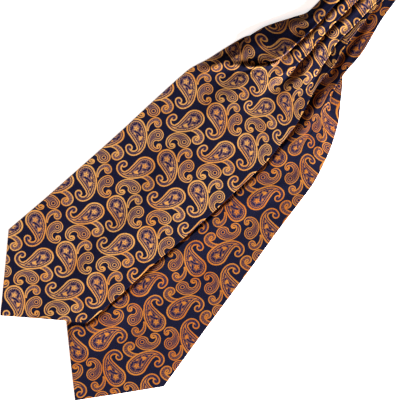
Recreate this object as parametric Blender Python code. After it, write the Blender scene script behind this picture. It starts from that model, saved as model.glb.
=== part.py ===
"""A day cravat lying flat on a table.

One long band of silk with a wide pointed blade at each end and a pleated, stitched neckband between them.
The band is folded once at the middle of the neckband, so the front blade lies on the back blade and both
fan out from the neck. Each blade is a wall of cloth with its real cut: flat at full width, then three knife
pleats and a tucked edge that open out of the neckband. Sizes in this file are millimetres; the mesh is built
in metres, with +Y from the points to the turn of the neckband, +Z up and the table at Z = 0.
"""

import functools
import math

import bpy
import numpy as np

MM = 0.001

# The cut
CUT_WIDTH = 150.0  # the cloth's own width, edge to edge
SHOULDER_RISE = 1.03  # how far the hem climbs for each unit across, from the point to the shoulder
CLOTH = 1.0  # wall thickness: the silk is double, with its edges turned in
CLEAR = 0.3  # gap at seams and between layers
FOLD_RADIUS = 0.675  # of the cloth's middle surface in a pressed pleat
TUCK_RADIUS = 2.1  # of the tucked left edge, which wraps the first pleat
SLACK = 0.85  # a pleat starts to close where its lines are this share of their cloth apart
SHUT = 3.0  # overlap at which it is closed
MID_PANEL = 0.45  # where the guide point between two pleats is, as a share of the panel's cloth
MID_SHUT = 0.6  # the furthest that it moves across the panel as the pleat closes
MID_CLEAR = 3.0  # and how far it keeps from the fold

# The lie: both blades' axes cross at the pivot, above the neck
HALF_SPREAD = math.radians(6.25)
FRONT_LENGTH = 623.3  # point to pivot
BACK_LENGTH = 635.4
SEAM_FRONT = 525.0  # where the neckband's stitching gathers the blade
SEAM_BACK = 515.0
TURN_START = 18.0  # the necks end on this line, measured up from the pivot
SWING = 40.0  # the rows of a neck start to swing round to that line this far past its seam
END_TRIES = 6  # steps of the search for the place where a fold meets that line

# Pleats: where each fold runs in the flat cloth, from the left edge (-75) to the right edge (+75)
EDGE_L, TUCK, CREST_1, VALLEY_1, CREST_2, VALLEY_2, CREST_3, VALLEY_3, EDGE_R = range(9)
FRONT_CUT = (-75.0, -58.0, -42.2, -26.4, 4.25, 17.6, 50.8, 59.7, 75.0)
BACK_CUT = (-75.0, -70.0, -43.4, -32.5, -9.6, 0.0, 40.1, 57.6, 75.0)  # its left edge isn't tucked
# How far up its rise each panel is where it comes out from under the fold above it
FRONT_RISES = (0.22, 0.35, 0.0)
BACK_RISES = (0.33, 0.28, 0.0)

# Outline of the flat part: distance from the point, left edge, right edge
FRONT_OUTLINE = (
    (0.0, -73.3, 73.3),
    (123.0, -73.6, 75.0),
    (178.0, -74.6, 72.6),
    (255.0, -76.6, 71.6),
    (310.0, -79.2, 69.4),
    (365.0, -80.8, 66.2),
)
BACK_OUTLINE = (
    (0.0, -76.8, 76.8),
    (100.0, -75.0, 75.0),
    (185.0, -73.6, 73.2),
    (255.0, -73.0, 72.6),
    (318.0, -73.0, 71.0),
    (375.0, -73.0, 71.0),
)

# Where the folds lie in the fan and the neck. A row is a section across the band: its distance from the
# point, then the place across the band of each of the nine lines above.
FRONT_PLACES = (
    (395.0, -75.3, -60.5, -43.5, -30.5, -5.2, 5.5, 38.0, 46.5, 60.8),
    (421.0, -71.7, -57.0, -37.0, -28.0, -7.3, 4.3, 33.7, 41.7, 55.5),
    (445.0, -67.3, -64.0, -26.0, -19.5, -4.0, 4.5, 28.5, 34.5, 46.8),
    (468.0, -53.0, -61.4, -18.4, -22.0, -0.6, 2.5, 24.3, 29.0, 37.5),
    (486.0, -43.7, -55.3, -19.6, -26.5, -1.0, -6.0, 21.9, 22.5, 32.5),
    (505.0, -34.0, -47.4, -20.3, -28.5, -4.1, -13.4, 17.6, 13.0, 29.5),
    (525.0, -24.3, -40.3, -22.2, -34.0, -7.8, -17.0, 10.9, 4.0, 22.0),
    (559.0, -26.7, -43.1, -26.7, -39.5, -11.2, -20.0, 8.0, 0.5, 14.6),
    (598.0, -28.0, -44.5, -29.0, -41.0, -13.5, -22.5, 4.3, -3.5, 8.0),
    (645.0, -28.5, -44.5, -29.0, -41.0, -13.5, -22.5, 4.5, -3.5, 8.5),
)
BACK_PLACES = (
    (419.0, -66.8, -62.2, -40.0, -31.0, -9.1, 4.0, 32.8, 48.6, 64.6),
    (459.0, -54.7, -50.3, -32.8, -27.3, -9.7, 3.0, 26.5, 36.5, 51.3),
    (486.0, -43.7, -39.3, -28.0, -29.2, -9.7, -5.5, 21.4, 19.4, 35.6),
    (500.0, -40.0, -35.6, -25.5, -31.6, -9.1, -12.5, 19.7, 11.0, 27.3),
    (515.0, -37.7, -33.3, -23.0, -33.5, -8.5, -14.3, 19.2, 6.0, 18.8),
    (543.0, -37.7, -33.3, -23.0, -33.5, -8.5, -14.3, 20.9, 6.7, 18.8),
    (599.0, -38.9, -34.5, -24.3, -34.7, -9.7, -15.5, 15.3, 1.5, 13.4),
    (660.0, -40.6, -36.2, -26.0, -36.4, -11.4, -17.2, 14.6, 0.2, 12.3),
)

# Height of the cloth's middle above what it lies on, at the same nine lines
FRONT_HEIGHTS = (
    (395.0, 0.5, 1.4, 2.2, 1.8, 1.8, 1.0, 1.6, 1.5, 1.4),
    (421.0, 0.5, 3.0, 5.0, 4.4, 3.6, 2.2, 3.4, 3.2, 3.4),
    (445.0, 0.5, 4.8, 8.8, 7.0, 6.0, 2.4, 5.6, 5.4, 5.6),
    (468.0, 0.5, 3.6, 11.0, 6.2, 7.4, 2.0, 7.4, 6.6, 6.4),
    (486.0, 0.5, 2.9, 10.6, 5.0, 7.6, 1.6, 8.2, 4.6, 6.2),
    (505.0, 0.5, 2.6, 8.4, 3.8, 7.0, 1.4, 7.4, 2.2, 5.6),
    (525.0, 0.5, 2.6, 6.0, 2.8, 5.4, 1.27, 5.2, 1.2, 4.0),
    (559.0, 0.5, 2.6, 5.0, 2.6, 4.8, 1.27, 4.2, 1.0, 2.6),
    (598.0, 0.5, 2.6, 4.8, 2.6, 4.5, 1.27, 3.8, 1.2, 1.5),
    (645.0, 0.5, 2.6, 4.7, 2.6, 4.4, 1.27, 3.67, 1.2, 0.7),
)
BACK_HEIGHTS = (
    (419.0, 0.5, 1.0, 1.9, 1.5, 2.0, 1.2, 5.4, 3.8, 0.6),
    (459.0, 1.0, 1.6, 3.6, 2.0, 3.4, 1.4, 8.4, 5.6, 2.0),
    (486.0, 2.4, 3.0, 4.5, 1.25, 4.1, 1.2, 9.8, 3.4, 2.2),
    (500.0, 3.4, 3.6, 4.0, 1.2, 3.7, 1.2, 9.2, 2.0, 1.4),
    (515.0, 3.6, 3.8, 3.8, 1.2, 3.6, 1.2, 7.6, 1.2, 0.6),
    (543.0, 3.6, 3.8, 3.8, 1.2, 3.6, 1.2, 6.6, 1.2, 0.6),
    (599.0, 3.6, 3.8, 3.8, 1.2, 3.6, 1.2, 5.6, 1.2, 0.6),
    (660.0, 3.6, 3.8, 3.8, 1.2, 3.6, 1.2, 4.5, 1.2, 0.6),
)

# How far the middles of the three panels right of the folds are moved from their plain places: the distance
# from the point, then across and up for each panel
FRONT_LIFTS = (
    (421.0, 0.0, 0.0, 0.0, 0.0, 0.0, 0.0),
    (445.0, 0.0, 0.0, 1.0, 1.6, 0.0, 0.0),
    (468.0, 0.0, 1.0, 5.0, 4.6, 0.0, 0.0),
    (483.0, 0.0, 1.2, 8.8, 6.4, 0.0, 0.0),
    (494.0, 0.0, 1.0, 6.7, 5.8, 0.0, 0.0),
    (510.0, 0.0, 0.4, 1.5, 2.0, 0.0, 0.0),
    (525.0, 0.0, 0.0, 0.0, 0.0, 0.0, 0.0),
)
BACK_LIFTS = (
    (375.0, 0.0, 0.0, 0.0, 0.0, 0.0, 0.0),
    (400.0, 0.0, 0.0, 2.0, 1.4, 0.0, 0.0),
    (419.0, 0.0, 0.0, 3.0, 3.6, 0.0, 0.0),
    (438.0, 0.0, 0.0, 3.0, 4.6, 0.0, 0.0),
    (459.0, 0.0, 0.0, 2.4, 4.8, 0.0, 0.0),
    (484.0, 0.0, 0.0, 6.0, 4.6, 0.0, 0.0),
    (500.0, 0.0, 0.0, 15.0, 2.8, 0.0, 0.0),
    (515.0, 0.0, 0.0, 12.0, 0.6, 0.0, 0.0),
    (560.0, 0.0, 0.0, 9.0, -0.4, 0.0, 0.0),
    (599.0, 0.0, 0.0, 5.0, -0.4, 0.0, 0.0),
    (640.0, 0.0, 0.0, 0.0, 0.0, 0.0, 0.0),
)

# Top of the back blade as the front blade meets it: distance from the back point, height
BACK_TOP = ((0.0, 1.0), (365.0, 1.0), (419.0, 3.0), (459.0, 4.8), (486.0, 5.4), (515.0, 5.8), (700.0, 5.8))
DRAPE = 28.0  # how far past the back blade's left edge the front blade comes down to the table
DRAPE_START = 3.0  # it leaves the back blade this far from that edge

# Rows of the mesh: distance from the point along the middle, and how much of the hem's V is left in the row
HEM_ROWS = ((0.0, 1.0), (48.0, 0.7), (110.0, 0.38), (180.0, 0.12), (260.0, 0.0))
BLADE_RUN = (325.0, 365.0, 380.0, 395.0, 408.0, 421.0)  # below the fan, the same on both blades
FRONT_BLADE_ROWS = (*BLADE_RUN, 434.0, 446.0, 457.0, 468.0, 477.0, 486.0, 495.0, 505.0, 515.0, SEAM_FRONT)
FRONT_NECK_ROWS = (SEAM_FRONT + CLEAR, 542.0, 562.0, 590.0, 616.0)
BACK_BLADE_ROWS = (*BLADE_RUN, 433.0, 446.0, 459.0, 470.0, 480.0, 490.0, 499.0, 507.0, SEAM_BACK)
BACK_NECK_ROWS = (SEAM_BACK + CLEAR, 530.0, 548.0, 575.0, 605.0, 630.0)

# The turn of the neckband
TURN_LEFT, TURN_RIGHT = -42.0, 11.0
TURN_LAYERS = 4
TURN_GROOVE = 1.4  # depth of the groove between two layers at the sides
BUNDLE = 5.1  # thickness of the gathered layers of one neck
TURN_HOLLOW = 1.7  # left between the two necks where the bundle bends
TURN_RUN = 1.5  # straight length at each end of the bend
TURN_STEPS = 8

# Looks
FRONT_NAVY = (0.055, 0.05, 0.16)
BACK_NAVY = (0.045, 0.04, 0.13)
SATIN = 0.42
SHARP = math.radians(50.0)


def smooth(low, high, value):
    """0 at low, 1 at high and an eased step between; low may be above high."""
    x = min(max((value - low) / (high - low), 0.0), 1.0)
    return x * x * (3.0 - 2.0 * x)


def mix(a, b, share):
    return a + (b - a) * share


def along(table, t):
    """The table's columns at t, on a smooth curve through its rows that never overshoots them."""
    rows = np.array(table)
    ts, values = rows[:, 0], rows[:, 1:]
    t = min(max(t, ts[0]), ts[-1])
    i = min(int(np.searchsorted(ts, t, side="right")) - 1, len(ts) - 2)
    slopes = np.diff(values, axis=0) / np.diff(ts)[:, None]
    tangents = np.zeros_like(values)
    same = slopes[1:] * slopes[:-1] > 0.0
    total = np.where(same, slopes[1:] + slopes[:-1], 1.0)
    tangents[1:-1] = np.where(same, 2.0 * slopes[1:] * slopes[:-1] / total, 0.0)
    tangents[0], tangents[-1] = slopes[0], slopes[-1]
    gap = ts[i + 1] - ts[i]
    x = (t - ts[i]) / gap
    return (
        (2 * x**3 - 3 * x**2 + 1) * values[i]
        + (x**3 - 2 * x**2 + x) * gap * tangents[i]
        + (3 * x**2 - 2 * x**3) * values[i + 1]
        + (x**3 - x**2) * gap * tangents[i + 1]
    )


class Band:
    """One blade with its neck: its cut, its sections and its place on the table."""

    def __init__(self, cut, rises, outline, places, heights, lifts, length, turn):
        self.cut = cut
        self.rises = rises
        self.lifts = lifts
        self.length = length
        self.axis = (-math.sin(turn), math.cos(turn))
        self.across = (math.cos(turn), math.sin(turn))
        flat = [(t, *(self.flat_place(left, right, s) for s in cut)) for t, left, right in outline]
        self.places = (*flat, *places)
        flat_heights = [(t, *(CLOTH / 2 for s in cut)) for t, left, right in outline]
        self.heights = (*flat_heights, *heights)

    @staticmethod
    def flat_place(left, right, s):
        return mix(left, right, s / CUT_WIDTH + 0.5)

    def to_table(self, t, v):
        """The place on the table, in mm from the pivot, of a point t up the band and v across it."""
        up = t - self.length
        return up * self.axis[0] + v * self.across[0], up * self.axis[1] + v * self.across[1]

    def from_table(self, x, y):
        return self.length + x * self.axis[0] + y * self.axis[1], x * self.across[0] + y * self.across[1]

    def fold(self, s, v, z, radius, turns):
        """Three points round a fold: its nose at (v, z) and one each side of it on a circle of that radius.

        turns are the angles that the cloth before and after the nose has turned down from lying flat.
        """
        reach = radius * math.sqrt(2.0)
        before, after = turns
        return [
            (s - reach, v - reach * math.cos(before), z + reach * math.sin(before)),
            (s, v, z),
            (s + reach, v + reach * math.cos(after), z - reach * math.sin(after)),
        ]

    @functools.lru_cache(maxsize=None)
    def section(self, t):
        """Guide points across the band at t: (place in the flat cloth, place across the band, height)."""
        v = along(self.places, t)
        z = along(self.heights, t)
        lifts = iter(along(self.lifts, t))
        cut = self.cut
        quarter = math.pi / 4
        slack = SLACK * (cut[TUCK] - cut[EDGE_L])
        closed = smooth(-slack, SHUT, v[EDGE_L] - v[TUCK])
        tuck_turns = (-3 * quarter * closed, -quarter * closed)
        points = [(cut[EDGE_L], v[EDGE_L], z[EDGE_L])]
        points += self.fold(cut[TUCK], v[TUCK], z[TUCK], TUCK_RADIUS, tuck_turns)
        for crest, rise in zip((CREST_1, CREST_2, CREST_3), self.rises):
            valley = crest + 1
            slack = SLACK * (cut[valley] - cut[crest])
            shut = smooth(slack, -SHUT, v[valley] - v[crest])
            less, more = quarter * shut, 3 * quarter * shut
            points += self.fold(cut[crest], v[crest], z[crest], FOLD_RADIUS, (less, more))
            points += self.fold(cut[valley], v[valley], z[valley], FOLD_RADIUS, (more, less))
            # The next panel stays low until it is clear of the fold above it.
            start = v[valley], z[valley]
            end = v[valley + 1], z[valley + 1]
            shut_v = min(max(v[crest], v[valley] + MID_CLEAR), mix(start[0], end[0], MID_SHUT))
            shut_z = mix(start[1] - FOLD_RADIUS, end[1], rise)
            middle_v = mix(mix(start[0], end[0], MID_PANEL), shut_v, shut) + next(lifts)
            middle_z = mix(mix(start[1], end[1], MID_PANEL), shut_z, shut) + next(lifts)
            points.append((mix(cut[valley], cut[valley + 1], MID_PANEL), middle_v, middle_z))
        points.append((cut[EDGE_R], v[EDGE_R], z[EDGE_R]))
        return points

    def columns(self, extra=()):
        """Places in the flat cloth where the mesh has points: every guide point, and any extra ones."""
        return sorted({round(point[0], 4) for point in self.section(0.0)} | set(extra))

    def row(self, t, vee, columns):
        """Points and upward directions of one row; vee is how much of the hem's slope the row keeps."""
        flat = self.places[0]
        found = []
        for s in columns:
            slope = SHOULDER_RISE * vee * abs(self.flat_place(flat[1], flat[-1], s))
            found.append(self.at(t + slope, s))
        return found

    def at(self, t, s):
        """(x, y, z) of the cloth's middle at s in the section at t, and its upward direction, in mm."""
        guide = np.array(self.section(t))
        keys, values = guide[:, 0], guide[:, 1:]
        i = min(max(int(np.searchsorted(keys, s, side="right")) - 1, 0), len(keys) - 2)
        ends = values[1:2] - values[:1], values[-1:] - values[-2:-1]
        chords = np.concatenate([ends[0], values[2:] - values[:-2], ends[1]])
        ways = chords / np.linalg.norm(chords, axis=1)[:, None]
        chord = np.linalg.norm(values[i + 1] - values[i])
        x = (s - keys[i]) / (keys[i + 1] - keys[i])
        ends = values[i], values[i + 1], chord * ways[i], chord * ways[i + 1]
        v, z = (
            (2 * x**3 - 3 * x**2 + 1) * ends[0]
            + (3 * x**2 - 2 * x**3) * ends[1]
            + (x**3 - 2 * x**2 + x) * ends[2]
            + (x**3 - x**2) * ends[3]
        )
        dv, dz = (
            (6 * x**2 - 6 * x) * (ends[0] - ends[1])
            + (3 * x**2 - 4 * x + 1) * ends[2]
            + (3 * x**2 - 2 * x) * ends[3]
        )
        size = math.hypot(dv, dz)
        place = self.to_table(t, v)
        up = (-dz / size * self.across[0], -dz / size * self.across[1], dv / size)
        return (*place, z), up


FRONT = Band(
    cut=FRONT_CUT,
    rises=FRONT_RISES,
    outline=FRONT_OUTLINE,
    places=FRONT_PLACES,
    heights=FRONT_HEIGHTS,
    lifts=FRONT_LIFTS,
    length=FRONT_LENGTH,
    turn=-HALF_SPREAD,
)
BACK = Band(
    cut=BACK_CUT,
    rises=BACK_RISES,
    outline=BACK_OUTLINE,
    places=BACK_PLACES,
    heights=BACK_HEIGHTS,
    lifts=BACK_LIFTS,
    length=BACK_LENGTH,
    turn=HALF_SPREAD,
)


def support(x, y):
    """Height that carries the front blade: the top of the back blade, easing down to the table past it."""
    t, v = BACK.from_table(x, y)
    top = float(along(BACK_TOP, t)[0]) + CLEAR
    places = along(BACK.places, t)
    left = min(places[EDGE_L], places[TUCK])
    return top * smooth(left - DRAPE_START - DRAPE, left - DRAPE_START, v)


def end_distance(band, s):
    """How far up the band its point s meets the line where the turn starts."""
    t = band.length + TURN_START
    for _ in range(END_TRIES):
        t += (TURN_START - band.at(t, s)[0][1]) / band.axis[1]
    return t


def build_wall(band, rows, on_back):
    """Points and faces of a closed wall of cloth through rows of the band."""
    over, under = [], []
    for row in rows:
        for point, up in row:
            lift = support(point[0], point[1]) if on_back else 0.0
            half = CLOTH / 2
            base = np.array(point) + (0.0, 0.0, lift)
            over.append(base + half * np.array(up))
            under.append(base - half * np.array(up))
    width, count = len(rows[0]), len(rows)
    points = [tuple(MM * c for c in p) for p in over + under]
    shift = len(over)
    faces = []
    for j in range(count - 1):
        for i in range(width - 1):
            a, b = j * width + i, j * width + i + 1
            c, d = b + width, a + width
            # Both faces of the wall are split along the same diagonal, so they stay parallel where it twists.
            if np.linalg.norm(over[a] - over[c]) < np.linalg.norm(over[b] - over[d]):
                halves = (a, b, c), (a, c, d)
            else:
                halves = (a, b, d), (b, c, d)
            for half_face in halves:
                faces.append(half_face)
                faces.append(tuple(shift + k for k in reversed(half_face)))
    rim = list(range(width))
    rim += [j * width + width - 1 for j in range(1, count)]
    rim += [(count - 1) * width + i for i in range(width - 2, -1, -1)]
    rim += [j * width for j in range(count - 2, 0, -1)]
    for a, b in zip(rim, rim[1:] + rim[:1]):
        faces.append((b, a, shift + a, shift + b))
    return points, faces


def blade_rows(band, straight, columns):
    rows = [band.row(t, vee, columns) for t, vee in HEM_ROWS]
    return rows + [band.row(t, 0.0, columns) for t in straight]


def neck_rows(band, straight, columns):
    """Rows from the seam to the line where the turn starts, the last ones swung round to that line."""
    ends = [end_distance(band, s) for s in columns]
    last = band.length + TURN_START
    rows = []
    for t in (*straight, last):
        swing = smooth(straight[0] + SWING, last, t)
        rows.append([band.at(mix(t, end, swing), s) for s, end in zip(columns, ends)])
    return rows


def bundle_outline():
    """Section of the gathered neck, grooved between its layers: (across, depth from the outside)."""
    layer = BUNDLE / TURN_LAYERS
    groove = CLEAR / 2
    right, left = [], []
    for k in range(TURN_LAYERS):
        top = k * layer + (groove if k else 0.0)
        bottom = (k + 1) * layer - (groove if k < TURN_LAYERS - 1 else 0.0)
        right += [(TURN_RIGHT, top), (TURN_RIGHT, bottom)]
        left += [(TURN_LEFT, top), (TURN_LEFT, bottom)]
        if k < TURN_LAYERS - 1:
            right.append((TURN_RIGHT - TURN_GROOVE, (k + 1) * layer))
            left.append((TURN_LEFT + TURN_GROOVE, (k + 1) * layer))
    return right + left[::-1]


def build_turn():
    """The neckband's turn: the whole bundle of layers bent round from the front neck to the back neck."""
    outline = bundle_outline()
    radius = BUNDLE + TURN_HOLLOW / 2
    start = TURN_START + CLEAR
    bend = [math.pi / 2 - math.pi * k / TURN_STEPS for k in range(TURN_STEPS + 1)]
    stations = [(start, bend[0])]
    stations += [(start + TURN_RUN, angle) for angle in bend]
    stations += [(start, bend[-1])]
    points = []
    for y, angle in stations:
        for x, depth in outline:
            reach = radius - depth
            place = (x, y + reach * math.cos(angle), radius + reach * math.sin(angle))
            points.append(tuple(MM * c for c in place))
    size = len(outline)
    faces = []
    for j in range(len(stations) - 1):
        for i in range(size):
            a, b = j * size + i, j * size + (i + 1) % size
            faces.append((a, b, b + size, a + size))
    first = tuple(range(size))
    last = tuple((len(stations) - 1) * size + i for i in range(size))
    faces += [first[::-1], last]
    return points, faces


def silk(name, colour):
    material = bpy.data.materials.new(name)
    material.use_nodes = True
    shader = material.node_tree.nodes["Principled BSDF"]
    shader.inputs["Base Color"].default_value = (*colour, 1.0)
    shader.inputs["Roughness"].default_value = SATIN
    shader.inputs["Metallic"].default_value = 0.0
    return material


def add_piece(name, shape, colour):
    mesh = bpy.data.meshes.new(name)
    mesh.from_pydata(shape[0], [], shape[1])
    mesh.materials.append(silk(name, colour))
    mesh.update()
    mesh.shade_smooth()
    mesh.set_sharp_from_angle(angle=SHARP)
    piece = bpy.data.objects.new(name, mesh)
    bpy.context.scene.collection.objects.link(piece)
    return piece


def centre_on_origin(pieces):
    """Moves the meshes so that the whole cravat's box is centred over the origin and stands on Z = 0."""
    corners = np.array([v.co for piece in pieces for v in piece.data.vertices])
    middle = (corners.min(axis=0) + corners.max(axis=0)) / 2
    for piece in pieces:
        for vertex in piece.data.vertices:
            vertex.co.x -= middle[0]
            vertex.co.y -= middle[1]


def main():
    for thing in list(bpy.data.objects):
        bpy.data.objects.remove(thing, do_unlink=True)
    front = FRONT.columns(extra=(0.0,))
    back = BACK.columns()
    shapes = (
        ("front_blade", build_wall(FRONT, blade_rows(FRONT, FRONT_BLADE_ROWS, front), True), FRONT_NAVY),
        ("front_neck", build_wall(FRONT, neck_rows(FRONT, FRONT_NECK_ROWS, front), True), FRONT_NAVY),
        ("back_blade", build_wall(BACK, blade_rows(BACK, BACK_BLADE_ROWS, back), False), BACK_NAVY),
        ("back_neck", build_wall(BACK, neck_rows(BACK, BACK_NECK_ROWS, back), False), BACK_NAVY),
        ("neck_turn", build_turn(), BACK_NAVY),
    )
    centre_on_origin([add_piece(name, shape, colour) for name, shape, colour in shapes])


main()
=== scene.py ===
"""Looks of a day cravat lying flat: two fanned, pleated blades of paisley silk on a pale table in soft light.

The cloth follows the solids' own sections at a much finer step, with thin rounded edges, soft creases and
the turn of the neckband bent in layers. Sizes are millimetres unless a name says otherwise; meshes are built
in metres.
"""

import math

import bpy
import numpy as np
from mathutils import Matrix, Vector


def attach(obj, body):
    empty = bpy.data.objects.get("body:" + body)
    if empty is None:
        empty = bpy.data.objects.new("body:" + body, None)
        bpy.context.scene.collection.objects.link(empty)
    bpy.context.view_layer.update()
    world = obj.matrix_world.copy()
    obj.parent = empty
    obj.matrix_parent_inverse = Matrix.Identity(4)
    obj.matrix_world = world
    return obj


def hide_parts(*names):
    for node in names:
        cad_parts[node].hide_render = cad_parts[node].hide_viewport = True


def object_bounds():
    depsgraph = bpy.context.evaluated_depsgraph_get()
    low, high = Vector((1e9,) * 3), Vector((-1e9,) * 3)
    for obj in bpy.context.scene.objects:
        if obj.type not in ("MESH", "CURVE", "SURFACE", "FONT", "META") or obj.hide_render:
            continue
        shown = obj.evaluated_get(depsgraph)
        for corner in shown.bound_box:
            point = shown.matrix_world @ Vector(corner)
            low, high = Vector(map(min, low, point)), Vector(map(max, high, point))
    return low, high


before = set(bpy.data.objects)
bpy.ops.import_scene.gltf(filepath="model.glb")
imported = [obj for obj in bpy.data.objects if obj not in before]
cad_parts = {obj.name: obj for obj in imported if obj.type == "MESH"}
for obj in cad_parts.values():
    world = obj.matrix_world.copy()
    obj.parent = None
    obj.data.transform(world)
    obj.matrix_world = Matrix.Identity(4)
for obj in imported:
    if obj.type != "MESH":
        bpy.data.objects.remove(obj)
CAD_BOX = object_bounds()

MM = 0.001

# --------------------------------------------------------------------------------------------------
# The cloth: sections of the two bands, as in the solids
# --------------------------------------------------------------------------------------------------
CUT_WIDTH = 150.0
SHOULDER_RISE = 1.03
SOLID_WALL = 1.0
CLOTH = 0.9
CLEAR = 0.3
FOLD_RADIUS = 0.675
TUCK_RADIUS = 2.1
SLACK = 0.85
SHUT = 3.0
MID_PANEL = 0.45
MID_SHUT = 0.6
MID_CLEAR = 3.0

HALF_SPREAD = math.radians(6.25)
FRONT_LENGTH = 623.3
BACK_LENGTH = 635.4
TURN_START = 18.0
SWING_FROM = {FRONT_LENGTH: 565.0, BACK_LENGTH: 555.0}

EDGE_L, TUCK, CREST_1, VALLEY_1, CREST_2, VALLEY_2, CREST_3, VALLEY_3, EDGE_R = range(9)
FRONT_CUT = (-75.0, -58.0, -42.2, -26.4, 4.25, 17.6, 50.8, 59.7, 75.0)
BACK_CUT = (-75.0, -70.0, -43.4, -32.5, -9.6, 0.0, 40.1, 57.6, 75.0)
FRONT_RISES = (0.22, 0.35, 0.0)
BACK_RISES = (0.33, 0.28, 0.0)

FRONT_OUTLINE = (
    (0.0, -73.3, 73.3),
    (123.0, -73.6, 75.0),
    (178.0, -74.6, 72.6),
    (255.0, -76.6, 71.6),
    (310.0, -79.2, 69.4),
    (365.0, -80.8, 66.2),
)
BACK_OUTLINE = (
    (0.0, -76.8, 76.8),
    (100.0, -75.0, 75.0),
    (185.0, -73.6, 73.2),
    (255.0, -73.0, 72.6),
    (318.0, -73.0, 71.0),
    (375.0, -73.0, 71.0),
)
FRONT_PLACES = (
    (395.0, -75.3, -60.5, -43.5, -30.5, -5.2, 5.5, 38.0, 46.5, 60.8),
    (421.0, -71.7, -57.0, -37.0, -28.0, -7.3, 4.3, 33.7, 41.7, 55.5),
    (445.0, -67.3, -64.0, -26.0, -19.5, -4.0, 4.5, 28.5, 34.5, 46.8),
    (468.0, -53.0, -61.4, -18.4, -22.0, -0.6, 2.5, 24.3, 29.0, 37.5),
    (486.0, -43.7, -55.3, -19.6, -26.5, -1.0, -6.0, 21.9, 22.5, 32.5),
    (505.0, -34.0, -47.4, -20.3, -28.5, -4.1, -13.4, 17.6, 13.0, 29.5),
    (525.0, -24.3, -40.3, -22.2, -34.0, -7.8, -17.0, 10.9, 4.0, 22.0),
    (559.0, -26.7, -43.1, -26.7, -39.5, -11.2, -20.0, 8.0, 0.5, 14.6),
    (598.0, -28.0, -44.5, -29.0, -41.0, -13.5, -22.5, 4.3, -3.5, 8.0),
    (645.0, -28.5, -44.5, -29.0, -41.0, -13.5, -22.5, 4.5, -3.5, 8.5),
)
BACK_PLACES = (
    (419.0, -66.8, -62.2, -40.0, -31.0, -9.1, 4.0, 32.8, 48.6, 64.6),
    (459.0, -54.7, -50.3, -32.8, -27.3, -9.7, 3.0, 26.5, 36.5, 51.3),
    (486.0, -43.7, -39.3, -28.0, -29.2, -9.7, -5.5, 21.4, 19.4, 35.6),
    (500.0, -40.0, -35.6, -25.5, -31.6, -9.1, -12.5, 19.7, 11.0, 27.3),
    (515.0, -37.7, -33.3, -23.0, -33.5, -8.5, -14.3, 19.2, 6.0, 18.8),
    (543.0, -37.7, -33.3, -23.0, -33.5, -8.5, -14.3, 20.9, 6.7, 18.8),
    (599.0, -38.9, -34.5, -24.3, -34.7, -9.7, -15.5, 15.3, 1.5, 13.4),
    (660.0, -40.6, -36.2, -26.0, -36.4, -11.4, -17.2, 14.6, 0.2, 12.3),
)
FRONT_HEIGHTS = (
    (395.0, 0.5, 1.4, 2.2, 1.8, 1.8, 1.0, 1.6, 1.5, 1.4),
    (421.0, 0.5, 3.0, 5.0, 4.4, 3.6, 2.2, 3.4, 3.2, 3.4),
    (445.0, 0.5, 4.8, 8.8, 7.0, 6.0, 2.4, 5.6, 5.4, 5.6),
    (468.0, 0.5, 3.6, 11.0, 6.2, 7.4, 2.0, 7.4, 6.6, 6.4),
    (486.0, 0.5, 2.9, 10.6, 5.0, 7.6, 1.6, 8.2, 4.6, 6.2),
    (505.0, 0.5, 2.6, 8.4, 3.8, 7.0, 1.4, 7.4, 2.2, 5.6),
    (525.0, 0.5, 2.6, 6.0, 2.8, 5.4, 1.27, 5.2, 1.2, 4.0),
    (559.0, 0.5, 2.6, 5.0, 2.6, 4.8, 1.27, 4.2, 1.0, 2.6),
    (598.0, 0.5, 2.6, 4.8, 2.6, 4.5, 1.27, 3.8, 1.2, 1.5),
    (645.0, 0.5, 2.6, 4.7, 2.6, 4.4, 1.27, 3.67, 1.2, 0.7),
)
BACK_HEIGHTS = (
    (419.0, 0.5, 1.0, 1.9, 1.5, 2.0, 1.2, 5.4, 3.8, 0.6),
    (459.0, 1.0, 1.6, 3.6, 2.0, 3.4, 1.4, 8.4, 5.6, 2.0),
    (486.0, 2.4, 3.0, 4.5, 1.25, 4.1, 1.2, 9.8, 3.4, 2.2),
    (500.0, 3.4, 3.6, 4.0, 1.2, 3.7, 1.2, 9.2, 2.0, 1.4),
    (515.0, 3.6, 3.8, 3.8, 1.2, 3.6, 1.2, 7.6, 1.2, 0.6),
    (543.0, 3.6, 3.8, 3.8, 1.2, 3.6, 1.2, 6.6, 1.2, 0.6),
    (599.0, 3.6, 3.8, 3.8, 1.2, 3.6, 1.2, 5.6, 1.2, 0.6),
    (660.0, 3.6, 3.8, 3.8, 1.2, 3.6, 1.2, 4.5, 1.2, 0.6),
)
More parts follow.
